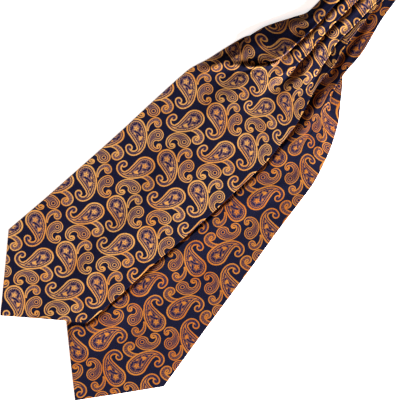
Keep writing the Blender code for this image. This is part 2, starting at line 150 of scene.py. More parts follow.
# How far the middles of the three panels right of the folds are moved across and up
FRONT_LIFTS = (
    (421.0, 0.0, 0.0, 0.0, 0.0, 0.0, 0.0),
    (445.0, 0.0, 0.0, 1.0, 1.6, 0.0, 0.0),
    (468.0, 0.0, 1.0, 5.0, 4.6, 0.0, 0.0),
    (483.0, 0.0, 1.2, 8.8, 6.4, 0.0, 0.0),
    (494.0, 0.0, 1.0, 6.7, 5.8, 0.0, 0.0),
    (510.0, 0.0, 0.4, 1.5, 2.0, 0.0, 0.0),
    (525.0, 0.0, 0.0, 0.0, 0.0, 0.0, 0.0),
)
BACK_LIFTS = (
    (375.0, 0.0, 0.0, 0.0, 0.0, 0.0, 0.0),
    (400.0, 0.0, 0.0, 2.0, 1.4, 0.0, 0.0),
    (419.0, 0.0, 0.0, 3.0, 3.6, 0.0, 0.0),
    (438.0, 0.0, 0.0, 3.0, 4.6, 0.0, 0.0),
    (459.0, 0.0, 0.0, 2.4, 4.8, 0.0, 0.0),
    (484.0, 0.0, 0.0, 6.0, 4.6, 0.0, 0.0),
    (500.0, 0.0, 0.0, 15.0, 2.8, 0.0, 0.0),
    (515.0, 0.0, 0.0, 12.0, 0.6, 0.0, 0.0),
    (560.0, 0.0, 0.0, 9.0, -0.4, 0.0, 0.0),
    (599.0, 0.0, 0.0, 5.0, -0.4, 0.0, 0.0),
    (640.0, 0.0, 0.0, 0.0, 0.0, 0.0, 0.0),
)
# Height of the back blade's top that carries the front one
BACK_TOP = (
    (0.0, 1.0),
    (365.0, 1.0),
    (419.0, 3.0),
    (459.0, 4.8),
    (486.0, 5.4),
    (515.0, 5.8),
    (700.0, 5.8),
)
DRAPE = 28.0
DRAPE_START = 3.0
HEM_FADE = ((0.0, 1.0), (48.0, 0.7), (110.0, 0.38), (180.0, 0.12), (260.0, 0.0))

BUNDLE = 5.1
TURN_HOLLOW = 1.7
TURN_RUN = 1.8
TURN_STEPS = 14
TURN_SHRINK = 0.985
TURN_MEAN_RADIUS = 3.5

# Mesh steps
ALONG_STEP = 2.2
ACROSS_STEP = 2.2
EDGE_STEPS = (0.0, 0.06, 0.2, 0.45, 1.1)
FOLD_STEPS = (-1.7, -1.3, -0.95, -0.65, -0.4, -0.2, 0.0, 0.2, 0.4, 0.65, 0.95, 1.3, 1.7)
TUCK_STEPS = (-4.5, -3.6, -2.97, -2.3, -1.7, -1.1, -0.5, 0.0, 0.5, 1.1, 1.7, 2.3, 2.97, 3.6, 4.5)


def smooth(low, high, value):
    x = np.clip((value - low) / (high - low), 0.0, 1.0)
    return x * x * (3.0 - 2.0 * x)


def mix(a, b, share):
    return a + (b - a) * share


def along(table, t):
    """The table's columns at each t, on a smooth curve through its rows that never overshoots them."""
    rows = np.array(table)
    ts, values = rows[:, 0], rows[:, 1:]
    t = np.clip(np.atleast_1d(t), ts[0], ts[-1])
    i = np.minimum(np.searchsorted(ts, t, side="right") - 1, len(ts) - 2)
    slopes = np.diff(values, axis=0) / np.diff(ts)[:, None]
    tangents = np.zeros_like(values)
    same = slopes[1:] * slopes[:-1] > 0.0
    total = np.where(same, slopes[1:] + slopes[:-1], 1.0)
    tangents[1:-1] = np.where(same, 2.0 * slopes[1:] * slopes[:-1] / total, 0.0)
    tangents[0], tangents[-1] = slopes[0], slopes[-1]
    gap = (ts[i + 1] - ts[i])[:, None]
    x = (t - ts[i])[:, None] / gap
    return (
        (2 * x**3 - 3 * x**2 + 1) * values[i]
        + (x**3 - 2 * x**2 + x) * gap * tangents[i]
        + (3 * x**2 - 2 * x**3) * values[i + 1]
        + (x**3 - x**2) * gap * tangents[i + 1]
    )


class Band:
    """One blade with its neck: its cut, its sections and its place on the table."""

    def __init__(self, cut, rises, outline, places, heights, lifts, length, turn):
        self.cut = cut
        self.rises = rises
        self.lifts = lifts
        self.length = length
        self.axis = (-math.sin(turn), math.cos(turn))
        self.across = (math.cos(turn), math.sin(turn))
        flat = [(t, *(mix(left, right, s / CUT_WIDTH + 0.5) for s in cut)) for t, left, right in outline]
        self.places = (*flat, *places)
        self.heights = (*((t, *([0.5] * len(cut))) for t, left, right in outline), *heights)
        self.reach = np.arange(0.0, length + TURN_START + 30.0, 1.0)
        self.keys, self.guide = self.sections(self.reach)

    def to_table(self, t, v):
        up = t - self.length
        return up * self.axis[0] + v * self.across[0], up * self.axis[1] + v * self.across[1]

    def from_table(self, x, y):
        return self.length + x * self.axis[0] + y * self.axis[1], x * self.across[0] + y * self.across[1]

    def sections(self, t):
        """Guide lines of the folds: their places in the cloth, and (across, height) of each one at each t."""
        v = along(self.places, t).T
        z = along(self.heights, t).T
        lifts = iter(along(self.lifts, t).T)
        cut, quarter = self.cut, math.pi / 4
        keys, lines = [], []

        def add(s, across, height):
            keys.append(s)
            lines.append(np.stack([across, height], axis=-1))

        def fold(line, radius, before, after):
            reach = radius * math.sqrt(2.0)
            add(cut[line] - reach, v[line] - reach * np.cos(before), z[line] + reach * np.sin(before))
            add(cut[line], v[line], z[line])
            add(cut[line] + reach, v[line] + reach * np.cos(after), z[line] - reach * np.sin(after))

        closed = smooth(-SLACK * (cut[TUCK] - cut[EDGE_L]), SHUT, v[EDGE_L] - v[TUCK])
        add(cut[EDGE_L], v[EDGE_L], z[EDGE_L])
        fold(TUCK, TUCK_RADIUS, -3 * quarter * closed, -quarter * closed)
        for crest, rise in zip((CREST_1, CREST_2, CREST_3), self.rises):
            valley = crest + 1
            shut = smooth(SLACK * (cut[valley] - cut[crest]), -SHUT, v[valley] - v[crest])
            fold(crest, FOLD_RADIUS, quarter * shut, 3 * quarter * shut)
            fold(valley, FOLD_RADIUS, 3 * quarter * shut, quarter * shut)
            open_v = mix(v[valley], v[valley + 1], MID_PANEL)
            open_z = mix(z[valley], z[valley + 1], MID_PANEL)
            shut_v = np.maximum(v[crest], v[valley] + MID_CLEAR)
            shut_v = np.minimum(shut_v, mix(v[valley], v[valley + 1], MID_SHUT))
            shut_z = mix(z[valley] - FOLD_RADIUS, z[valley + 1], rise)
            panel_v = mix(open_v, shut_v, shut) + next(lifts)
            panel_z = mix(open_z, shut_z, shut) + next(lifts)
            add(mix(cut[valley], cut[valley + 1], MID_PANEL), panel_v, panel_z)
        add(cut[EDGE_R], v[EDGE_R], z[EDGE_R])
        return np.array(keys), np.stack(lines, axis=1)

    def at(self, t, s):
        """(across, height) of the cloth's middle at places s in the sections at t, both arrays."""
        step = np.clip(t, 0.0, self.reach[-1] - 1e-6)
        low = step.astype(int)
        part = (step - low)[..., None]
        count = len(self.keys)
        i = np.clip(np.searchsorted(self.keys, s, side="right") - 1, 0, count - 2)

        def line(k):
            k = np.clip(k, 0, count - 1)
            return self.guide[low, k] * (1 - part) + self.guide[low + 1, k] * part

        def unit(way):
            return way / np.linalg.norm(way, axis=-1, keepdims=True)

        a, b = line(i), line(i + 1)
        chord = np.linalg.norm(b - a, axis=-1, keepdims=True)
        way_a, way_b = unit(b - line(i - 1)), unit(line(i + 2) - a)
        x = ((s - self.keys[i]) / (self.keys[i + 1] - self.keys[i]))[..., None]
        return (
            (2 * x**3 - 3 * x**2 + 1) * a
            + (3 * x**2 - 2 * x**3) * b
            + (x**3 - 2 * x**2 + x) * chord * way_a
            + (x**3 - x**2) * chord * way_b
        )


FRONT = Band(
    cut=FRONT_CUT,
    rises=FRONT_RISES,
    outline=FRONT_OUTLINE,
    places=FRONT_PLACES,
    heights=FRONT_HEIGHTS,
    lifts=FRONT_LIFTS,
    length=FRONT_LENGTH,
    turn=-HALF_SPREAD,
)
BACK = Band(
    cut=BACK_CUT,
    rises=BACK_RISES,
    outline=BACK_OUTLINE,
    places=BACK_PLACES,
    heights=BACK_HEIGHTS,
    lifts=BACK_LIFTS,
    length=BACK_LENGTH,
    turn=HALF_SPREAD,
)


def support(x, y):
    """Height that the front blade is carried at: the back blade's top, easing down to the table past it."""
    t, v = BACK.from_table(x, y)
    top = along(BACK_TOP, t.ravel())[:, 0].reshape(t.shape) + CLEAR
    places = along(BACK.places, t.ravel())
    left = np.minimum(places[:, EDGE_L], places[:, TUCK]).reshape(t.shape)
    return top * smooth(left - DRAPE_START - DRAPE, left - DRAPE_START, v)


# Soft ridges that run along the cloth: rows of t, s, half width and height
RIDGES = (
    (
        "front",
        (
            (372.0, -66.0, 6.0, 0.0),
            (395.0, -60.0, 7.0, 2.6),
            (423.0, -55.0, 6.0, 3.8),
            (445.0, -50.5, 5.0, 3.4),
            (469.0, -48.0, 4.5, 3.0),
            (484.0, -49.6, 4.2, 3.4),
            (502.0, -51.6, 3.6, 3.6),
            (530.0, -50.6, 4.0, 1.6),
            (600.0, -50.6, 4.0, 1.2),
            (640.0, -50.6, 4.0, 0.0),
        ),
    ),
    (
        "front",
        (
            (455.0, -6.0, 5.0, 0.0),
            (480.0, -6.0, 5.0, 1.6),
            (520.0, -6.5, 4.5, 1.8),
            (600.0, -6.5, 4.5, 1.4),
            (640.0, -6.5, 4.5, 0.0),
        ),
    ),
    (
        "front",
        (
            (495.0, 40.0, 4.5, 0.0),
            (520.0, 40.0, 4.5, 1.6),
            (600.0, 40.0, 4.5, 1.3),
            (640.0, 40.0, 4.5, 0.0),
        ),
    ),
    (
        "back",
        (
            (500.0, 29.0, 6.0, 0.0),
            (530.0, 29.0, 6.0, 1.8),
            (610.0, 29.0, 6.0, 1.6),
            (640.0, 29.0, 6.0, 0.0),
        ),
    ),
)
# Soft creases: (band, from t, s, to t, s, half width, height). Past its ends a crease dies out over this many
# half widths.
CREASE_END = 1.5
CREASES = (
    ("back", 330.0, 30.0, 372.0, 52.0, 9.0, 1.2),
    ("front", 413.0, -50.0, 438.0, -34.2, 3.8, 4.6),
    ("front", 438.0, -34.2, 456.0, -20.0, 3.8, 4.0),
)


def crease_height(name, t, s):
    """Height added by the ridges and creases of one band."""
    total = np.zeros_like(t)
    for band, rows in RIDGES:
        if band == name:
            place, width, height = (part.reshape(t.shape) for part in along(rows, t.ravel()).T)
            total += height * np.exp(-(((s - place) / width) ** 2))
    crossing = np.zeros_like(t)
    for band, t0, s0, t1, s1, width, height in CREASES:
        if band != name:
            continue
        way = np.array([t1 - t0, s1 - s0])
        size = np.linalg.norm(way)
        way = way / size
        run = (t - t0) * way[0] + (s - s0) * way[1]
        off = (t - t0) * -way[1] + (s - s0) * way[0]
        past = np.maximum(np.maximum(-run, run - size), 0.0)
        fade = (off / width) ** 2 + (past / (CREASE_END * width)) ** 2
        crossing = np.maximum(crossing, height * np.exp(-fade))
    return total + crossing


# The cloth swells where it comes out from under a fold or from under the front blade's edge, which leaves a
# groove there. A swell starts and is full at RISE from the fold or edge, and dies out over FALL.
NECK_SWELL = 1.3
NECK_SWELL_FROM = (470.0, 515.0)
NECK_SWELL_END = (30.0, 5.0)  # before the neck's last row
SWELL_RISE = (0.2, 2.5)
SWELL_FALL = (7.0, 16.0)
PANEL_START = (1.0, 3.0)  # in the cloth, after a panel's left fold and before its right one
PANEL_END = (6.0, 2.0)
EDGE_SWELL = 2.1
EDGE_SWELL_TO = (385.0, 430.0)
EDGE_RISE = (1.4, 3.8)
EDGE_FALL = (8.0, 40.0)
HEM_GAP = 2.0  # the swell starts this much farther from the hem, where the mesh runs across it
OWN_EDGE = 14.0  # and it rises over this much from the back blade's own edges


def neck_swell(band, t, s, v):
    """Height of the swell in the panels right of the folds."""
    places = along(band.places, t.ravel())
    total = np.zeros_like(t)
    for crest, end in ((CREST_1, CREST_2), (CREST_2, CREST_3), (CREST_3, EDGE_R)):
        off = v - places[:, crest].reshape(t.shape)
        start, stop = (band.cut[crest + 1] + d for d in PANEL_START), (band.cut[end] - d for d in PANEL_END)
        in_panel = smooth(*start, s) * (1.0 - smooth(*stop, s))
        total += in_panel * smooth(*SWELL_RISE, off) * (1.0 - smooth(*SWELL_FALL, off))
    last = band.length + TURN_START
    fade = 1.0 - smooth(*(last - d for d in NECK_SWELL_END), t)
    return NECK_SWELL * total * smooth(*NECK_SWELL_FROM, t) * fade


def edge_swell(x, y):
    """Height of the back blade's swell beside the front blade's right edge and hem."""
    t, v = FRONT.from_table(x, y)
    right = along(FRONT.places, np.maximum(t, 0.0).ravel())[:, EDGE_R].reshape(t.shape)
    past_hem = (SHOULDER_RISE * np.abs(v) - t) / math.hypot(1.0, SHOULDER_RISE)
    off = np.maximum(v - right, past_hem - HEM_GAP)
    fan = 1.0 - smooth(*EDGE_SWELL_TO, t)
    return EDGE_SWELL * fan * smooth(*EDGE_RISE, off) * (1.0 - smooth(*EDGE_FALL, off))


# How far the silk has slid where the fan gathers it: rows of t, along, and across at each fold line
SLIDES = {
    "front_cloth": (
        (0.0, 0.0, 0.0, 0.0, 0.0, 0.0, 0.0, 0.0, 0.0, 0.0, 0.0),
        (365.0, 0.0, 0.0, 0.0, 0.0, 0.0, 0.0, 0.0, 0.0, 0.0, 0.0),
        (395.0, 5.0, 0.0, 0.0, 4.0, 2.0, 0.0, 0.0, 0.0, 0.0, 0.0),
        (421.0, 12.0, 0.0, 0.0, 9.0, 5.0, 0.0, 0.0, 0.0, 0.0, 0.0),
        (445.0, 17.0, 0.0, 0.0, 21.0, 12.0, 0.0, 0.0, 0.0, 0.0, 0.0),
        (468.0, 22.0, 0.0, 0.0, 19.0, 7.5, 0.0, 0.0, 0.0, 0.0, 0.0),
        (486.0, 25.0, 0.0, 0.0, 18.5, 6.0, 0.0, 0.0, 0.0, 0.0, 0.0),
        (505.0, 28.0, 0.0, 0.0, 15.0, 6.0, 0.0, 0.0, 0.0, 0.0, 0.0),
        (525.0, 30.0, 0.0, 0.0, 2.5, 1.0, 0.0, 0.0, 0.0, 0.0, 0.0),
        (559.0, 30.0, 0.0, 0.0, 0.0, 0.0, 0.0, 0.0, 0.0, 0.0, 0.0),
    ),
    "back_cloth": (
        (0.0, 0.0, 0.0, 0.0, 0.0, 0.0, 0.0, 0.0, 0.0, 0.0, 0.0),
        (385.0, 0.0, 0.0, 0.0, 0.0, 0.0, 0.0, 0.0, 0.0, 0.0, 0.0),
        (419.0, 7.0, 0.0, 0.0, 0.0, 0.0, 0.0, 3.0, 2.0, 2.0, 0.0),
        (445.0, 16.0, 0.0, 0.0, 0.0, 0.0, 0.0, 7.0, 5.0, 4.0, 0.0),
        (470.0, 23.0, 0.0, 0.0, 0.0, 0.0, 0.0, 9.0, 8.0, 5.0, 0.0),
        (500.0, 26.0, 0.0, 0.0, 0.0, 0.0, 0.0, 4.0, 3.0, 3.0, 0.0),
        (546.0, 29.0, 0.0, 0.0, 0.0, 0.0, 0.0, -2.6, -2.6, 0.0, 0.0),
    ),
}


def slid(name, t, s):
    """Places in the silk of places t, s in the lie."""
    cut = FRONT_CUT if name == "front_cloth" else BACK_CUT
    found = along(SLIDES[name], t.ravel())
    i = np.clip(np.searchsorted(cut, s.ravel(), side="right") - 1, 0, len(cut) - 2)
    low, high = np.array(cut)[i], np.array(cut)[i + 1]
    rows = np.arange(len(i))
    across = mix(found[rows, i + 1], found[rows, i + 2], (s.ravel() - low) / (high - low))
    return t + found[:, 0].reshape(t.shape), s + across.reshape(t.shape)


# --------------------------------------------------------------------------------------------------
# Meshes
# --------------------------------------------------------------------------------------------------
def columns(band):
    """Places across the cloth where the mesh has lines, closer at the edges and folds."""
    half = CUT_WIDTH / 2
    found = [-half + e for e in EDGE_STEPS] + [half - e for e in EDGE_STEPS]
    fine = []
    for line in (CREST_1, VALLEY_1, CREST_2, VALLEY_2, CREST_3, VALLEY_3):
        fine += [band.cut[line] + step for step in FOLD_STEPS]
    if band is FRONT:
        fine += [band.cut[TUCK] + step for step in TUCK_STEPS]
    found += fine
    taken = np.sort(np.array(found))
    for a, b in zip(taken[:-1], taken[1:]):
        step = ACROSS_STEP / 2 if band.cut[TUCK] < a < band.cut[CREST_1] else ACROSS_STEP
        count = int(round((b - a) / step))
        found += [mix(a, b, k / count) for k in range(1, count)]
    return np.array(sorted(found))


def grid_of(name, band, cols):
    """Places (t, s), rows by columns, and points of the cloth's middle over the table."""
    last = band.length + TURN_START
    steps = np.arange(EDGE_STEPS[-1], last - 1.0, ALONG_STEP)
    rows = np.concatenate([np.array(EDGE_STEPS[:-1]), steps, [last]])
    base, s = np.meshgrid(rows, cols, indexing="ij")
    vee = along(HEM_FADE, rows)[:, :1]
    flat = mix(band.places[0][1], band.places[0][-1], s / CUT_WIDTH + 0.5)
    t = base + SHOULDER_RISE * vee * np.abs(flat)
    # The last rows swing round to the line where the turn starts.
    end = np.full(len(cols), last)
    for _ in range(8):
        place = band.at(end, cols)
        end = end + (TURN_START - band.to_table(end, place[:, 0])[1]) / band.axis[1]
    swing = smooth(SWING_FROM[band.length], last, base)
    t = t + (end[None, :] - last) * swing
    place = band.at(t, s)
    x, y = band.to_table(t, place[..., 0])
    z = place[..., 1] - (SOLID_WALL - CLOTH) / 2
    z = z + crease_height(name, t, s) + neck_swell(band, t, s, place[..., 0])
    if name == "back":
        # The swell dies out at the cloth's own edge, where it lies down on the table.
        inner = smooth(0.0, OWN_EDGE, CUT_WIDTH / 2 - np.abs(s)) * smooth(0.0, OWN_EDGE, base)
        z = z + edge_swell(x, y) * inner
    return base, t, s, np.stack([x, y, z], axis=-1)


def bend_round(base, t, s, points):
    """Adds the rows that carry the front neck round the turn and back under, each layer on its own radius."""
    middle = BUNDLE + TURN_HOLLOW / 2
    last = points[-1]
    radius = (last[:, 2] - middle) * TURN_SHRINK
    angles = [0.0] + [math.pi * k / TURN_STEPS for k in range(TURN_STEPS + 1)] + [math.pi]
    runs = [0.0] + [TURN_RUN] * (TURN_STEPS + 1) + [CLEAR]
    rows = []
    for angle, run in list(zip(angles, runs))[1:]:
        y = last[:, 1] + run + radius * math.sin(angle)
        z = middle + radius * math.cos(angle)
        rows.append(np.stack([last[:, 0], y, z], axis=-1))
    points = np.concatenate([points, np.array(rows)])
    step = TURN_RUN + math.pi * TURN_MEAN_RADIUS * np.arange(len(rows)) / TURN_STEPS
    base = np.concatenate([base, base[-1][None, :] + step[:, None]])
    t = np.concatenate([t, t[-1][None, :] + step[:, None]])
    s = np.concatenate([s, np.repeat(s[-1:], len(rows), axis=0)])
    return base, t, s, points


def normals_of(points):
    """Upward normals of a grid of points."""
    a = np.gradient(points, axis=0)
    b = np.gradient(points, axis=1)
    n = np.cross(b, a)
    return n / np.maximum(np.linalg.norm(n, axis=-1, keepdims=True), 1e-12)


BAKE_RIM = 0.01
BAKE_HALF = 0.48


def wall_mesh(name, base, t, s, points):
    """Closed cloth of even thickness with rounded edges, with its maps of silk, motif and bake."""
    rows, cols = s.shape
    half = CLOTH / 2
    edge_s = CUT_WIDTH / 2 - np.abs(s)
    edge_t = np.minimum(base, base[-1, 0] - base)
    near = np.clip(np.minimum(edge_s, edge_t) / half, 0.0, 1.0)
    thick = half * np.sqrt(1.0 - (1.0 - near) ** 2)
    up = normals_of(points)
    over = points + up * thick[..., None]
    under = points - up * thick[..., None]
    count = rows * cols
    index = np.arange(count).reshape(rows, cols)
    rim = np.zeros((rows, cols), bool)
    rim[0], rim[-1], rim[:, 0], rim[:, -1] = True, True, True, True
    low = np.where(rim, index, index + count)
    inner = np.unique(low[~rim])
    renumber = np.zeros(2 * count, int)
    renumber[:count] = np.arange(count)
    renumber[inner] = count + np.arange(len(inner))
    low = renumber[low]
    vertices = np.concatenate([over.reshape(-1, 3), under.reshape(-1, 3)[inner - count]])

    def quads(ids):
        return np.stack([ids[:-1, :-1], ids[:-1, 1:], ids[1:, 1:], ids[1:, :-1]], axis=-1).reshape(-1, 4)

    top, bottom = quads(index), quads(low)[:, ::-1]
    faces = np.concatenate([top, bottom])
    grid = quads(index)
    corner_grid = np.concatenate([grid, grid[:, ::-1]])
    is_under = np.arange(len(faces)) >= len(grid)

    mesh = bpy.data.meshes.new(name)
    mesh.vertices.add(len(vertices))
    mesh.vertices.foreach_set("co", (vertices * MM).astype(np.float32).ravel())
    mesh.loops.add(len(faces) * 4)
    mesh.loops.foreach_set("vertex_index", faces.astype(np.int32).ravel())
    mesh.polygons.add(len(faces))
    mesh.polygons.foreach_set("loop_start", np.arange(0, len(faces) * 4, 4, dtype=np.int32))
    mesh.update(calc_edges=True)
    mesh.validate()
    mesh.shade_smooth()

    flat_s, flat_base = s.reshape(-1)[corner_grid], base.reshape(-1)[corner_grid]
    silk_t, silk_s = slid(name, t, s)
    side = np.where(is_under, -1.0, 1.0)[:, None]
    cloth_s = silk_s.reshape(-1)[corner_grid] * side
    cloth_t = silk_t.reshape(-1)[corner_grid] + np.where(is_under, UNDER_SHIFT, 0.0)[:, None]
    add_map(mesh, "cloth", cloth_s * MM, cloth_t * MM)
    for kind in FIGURES:
        add_map(mesh, kind, *motif_places(name, kind, cloth_s, cloth_t))
    # The bake's map has the upper side in its left half and the under side in its right half.
    across = (flat_s / CUT_WIDTH + 0.5) * BAKE_HALF + np.where(is_under, 0.5 + BAKE_RIM, BAKE_RIM)[:, None]
    add_map(mesh, "OFBake", across, BAKE_RIM + (1.0 - 2 * BAKE_RIM) * flat_base / flat_base.max())
    return mesh


def add_map(mesh, name, u, v):
    layer = mesh.uv_layers.new(name=name)
    layer.data.foreach_set("uv", np.stack([u, v], axis=-1).astype(np.float32).ravel())


# --------------------------------------------------------------------------------------------------
# The paisley: one drawing in arcs, for the shader's numbers and for plain ones
# --------------------------------------------------------------------------------------------------
class Wire:
    """A number that shader nodes work out, written as ordinary arithmetic."""

    def __init__(self, tree, socket):
        self.tree = tree
        self.socket = socket

    def __add__(self, other):
        return calc("ADD", self, other)

    def __sub__(self, other):
        return calc("SUBTRACT", self, other)

    def __rsub__(self, other):
        return calc("SUBTRACT", other, self)

    def __mul__(self, other):
        return calc("MULTIPLY", self, other)


PLAIN = {
    "MINIMUM": np.minimum,
    "MAXIMUM": np.maximum,
    "COSINE": np.cos,
    "SINE": np.sin,
    "ARCTAN2": np.arctan2,
    "SQRT": np.sqrt,
    "ABSOLUTE": np.abs,
    "WRAP": lambda value, high, low: (value - low) % (high - low) + low,
}


def wire_in(tree, socket, value):
    if isinstance(value, Wire):
        tree.links.new(value.socket, socket)
    else:
        socket.default_value = float(value)


def calc(operation, *values):
    """One step of arithmetic, as a node if any value comes from nodes."""
    tree = next((v.tree for v in values if isinstance(v, Wire)), None)
    if tree is None:
        return PLAIN[operation](*values)
    node = tree.nodes.new("ShaderNodeMath")
    node.operation = operation
    for socket, value in zip(node.inputs, values):
        wire_in(tree, socket, value)
    return Wire(tree, node.outputs[0])


def share(value, start, end):
    """How far value is from start to end, from 0 to 1."""
    if not isinstance(value, Wire):
        return np.clip((value - start) / (end - start), 0.0, 1.0)
    node = value.tree.nodes.new("ShaderNodeMapRange")
    node.interpolation_type = "LINEAR"
    node.clamp = True
    wire_in(value.tree, node.inputs["Value"], value)
    wire_in(value.tree, node.inputs["From Min"], start)
    wire_in(value.tree, node.inputs["From Max"], end)
    return Wire(value.tree, node.outputs["Result"])


def least(first, *others):
    for other in others:
        first = calc("MINIMUM", first, other)
    return first


def most(first, *others):
    for other in others:
        first = calc("MAXIMUM", first, other)
    return first


def length(x, y):
    return calc("SQRT", x * x + y * y)


# Each figure is a chain of curved stretches: centre x, y, radius, from and to angle, then the half width at
# its start, middle and end
DROP = (
    (-33.9, -20.6, 39.6, 31.3, 0.0, 11.9, 11.1, 5.85),
    (-3.6, -20.6, 9.35, 0.0, -90.0, 5.85, 2.7, 3.2),
    (-3.6, -22.9, 7.0, -90.0, -180.0, 3.2, 3.1, 3.0),
    (-9.0, -23.3, 1.6, 180.0, 0.0, 3.0, 3.2, 3.0),
)
STEM = (
    (25.8, -1.5, 11.1, 188.0, 95.0, 1.1, 2.8, 2.8),
    (24.9, 4.7, 4.9, 90.0, 0.0, 2.8, 2.8, 2.6),
    (27.2, 4.7, 2.6, 0.0, -190.0, 2.6, 2.2, 1.6),
)
BUD = (
    (27.2, -18.4, 9.4, 91.0, 180.0, 7.4, 5.6, 3.7),
    (26.3, -18.4, 8.4, 180.0, 270.0, 3.7, 3.0, 2.3),
    (26.0, -22.6, 4.2, -90.0, 0.0, 2.3, 1.9, 1.5),
    (28.2, -22.6, 2.0, 0.0, 200.0, 1.5, 1.2, 1.0),
)


def stretch(x, y, row):
    """Distance outside one stretch (negative inside), and the share along it."""
    cx, cy, radius, start, end, first, mid, last = row
    start, end = math.radians(start), math.radians(end)
    middle = (start + end) / 2
    angle = calc("WRAP", calc("ARCTAN2", y - cy, x - cx), middle + math.pi, middle - math.pi)
    u = share(angle, start, end)
    place = u * (end - start) + start
    px = calc("COSINE", place) * radius + cx
    py = calc("SINE", place) * radius + cy
    width = u * (u * (first - 2 * mid + last) + 2 * (mid - first)) + first
    return length(x - px, y - py) - width, u


def figure(x, y, rows):
    """Distance outside a whole figure, and the length run along its stretches."""
    parts = [stretch(x, y, row) for row in rows]
    distance = least(*(part[0] for part in parts))
    run = 0.0
    for row, part in zip(rows, parts):
        run = part[1] * (row[2] * math.radians(abs(row[4] - row[3]))) + run
    return distance, run


FIGURES = {"drop": DROP, "stem": STEM, "bud": BUD}

# The repeat: two steps of the lattice across and along the cloth, and in it two motifs. The second one is
# turned and a little longer along its drop, and its drop, stem and bud each have their own place and size.
REPEAT_ACROSS = np.array([53.4, 4.2])
REPEAT_ALONG = np.array([-0.9, 82.7])
FIRST_TURN = math.radians(49.8)
SECOND_TURN = math.radians(76.0)
SECOND_STRETCH = (1.068, 0.925)
SECOND_PLACES = {"drop": (-11.8, -25.4), "stem": (-22.9, -32.1), "bud": (-19.9, -32.7)}
SECOND_SIZES = {"drop": 1.0, "stem": 1.24, "bud": 1.07}
CHART_STEP = 0.6
UNDER_SHIFT = 31.0
# Where a motif's middle is on each cloth, and how far the cloth's pattern is turned
PATTERN = {
    "front_cloth": (np.array([-10.7, 194.6]), 0.0),
    "back_cloth": (np.array([21.1, 135.8]), math.pi),
}


def turned(x, y, angle):
    c, s = math.cos(angle), math.sin(angle)
    return x * c - y * s, x * s + y * c


def in_motif(x, y, kind, second):
    """A place in the cloth, from its motif's own, as a place in the drawing of one figure."""
    x, y = turned(x, y, -FIRST_TURN)
    if not second:
        return x, y
    size = SECOND_SIZES[kind]
    return turned(x / (SECOND_STRETCH[0] * size), y / (SECOND_STRETCH[1] * size), SECOND_TURN)


def motif_chart(kind):
    """For a grid over one repeat: which motif, of which neighbour, has the nearest figure of one kind."""
    across = int(np.linalg.norm(REPEAT_ACROSS) / CHART_STEP)
    up = int(np.linalg.norm(REPEAT_ALONG) / CHART_STEP)
    i, j = np.meshgrid((np.arange(across) + 0.5) / across, (np.arange(up) + 0.5) / up, indexing="ij")
    s = i * REPEAT_ACROSS[0] + j * REPEAT_ALONG[0]
    t = i * REPEAT_ACROSS[1] + j * REPEAT_ALONG[1]
    best = np.full(s.shape, 1e9)
    chosen = np.zeros(s.shape + (3,), int)
    for second, place in enumerate(((0.0, 0.0), SECOND_PLACES[kind])):
        for di in (-1, 0, 1, 2):
            for dj in (-1, 0, 1, 2):
                origin = di * REPEAT_ACROSS + dj * REPEAT_ALONG + np.array(place)
                x, y = in_motif(s - origin[0], t - origin[1], kind, second)
                distance = figure(x, y, FIGURES[kind])[0]
                closer = distance < best
                best = np.where(closer, distance, best)
                chosen[closer] = (second, di, dj)
    return chosen


CHARTS = {kind: motif_chart(kind) for kind in FIGURES}


def motif_places(name, kind, s, t):
    """Each face's corners, as places in the drawing of the figure that the face is nearest to."""
    origin, turn = PATTERN[name]
    a, b = turned(s - origin[0], t - origin[1], -turn)
    det = REPEAT_ACROSS[0] * REPEAT_ALONG[1] - REPEAT_ACROSS[1] * REPEAT_ALONG[0]
    mid_a, mid_b = a.mean(axis=1), b.mean(axis=1)
    i = (mid_a * REPEAT_ALONG[1] - mid_b * REPEAT_ALONG[0]) / det
    j = (mid_b * REPEAT_ACROSS[0] - mid_a * REPEAT_ACROSS[1]) / det
    cell_i, cell_j = np.floor(i).astype(int), np.floor(j).astype(int)
    chart = CHARTS[kind]
    across, up = chart.shape[:2]
    at_i = np.clip(((i - cell_i) * across).astype(int), 0, across - 1)
    at_j = np.clip(((j - cell_j) * up).astype(int), 0, up - 1)
    second, di, dj = np.moveaxis(chart[at_i, at_j], -1, 0)
    place = (cell_i + di)[:, None] * REPEAT_ACROSS + (cell_j + dj)[:, None] * REPEAT_ALONG
    place = place + np.where(second[:, None] == 1, np.array(SECOND_PLACES[kind]), 0.0)
    x, y = a - place[:, :1], b - place[:, 1:]
    plain = in_motif(x, y, kind, False)
    other = in_motif(x, y, kind, True)
    is_first = (second == 0)[:, None]
    return np.where(is_first, plain[0], other[0]), np.where(is_first, plain[1], other[1])


# --------------------------------------------------------------------------------------------------
# Silk
# --------------------------------------------------------------------------------------------------
def linear(r, g, b):
    """A colour on a screen's 0 to 255 scale, as the light it gives."""
    return tuple((c / 255 / 12.92 if c <= 10 else ((c / 255 + 0.055) / 1.055) ** 2.4) for c in (r, g, b))


def colour_mix(tree, factor, a, b):
    node = tree.nodes.new("ShaderNodeMix")
    node.data_type = "RGBA"
    wire_in(tree, node.inputs["Factor"], factor)
    for socket, value in ((node.inputs["A"], a), (node.inputs["B"], b)):
        if isinstance(value, tuple):
            socket.default_value = (*value, 1.0)
        else:
            tree.links.new(value, socket)
    return node.outputs["Result"]


EDGE = 0.12  # softness of a woven edge
OUTSIDE = -1.0  # a depth outside every figure


def inside(distance):
    """1 where the distance is negative, with a soft woven edge."""
    return share(distance, EDGE, -EDGE)


def band(depth, low, high):
    return share(depth, low - EDGE, low + EDGE) * share(depth, high + EDGE, high - EDGE)


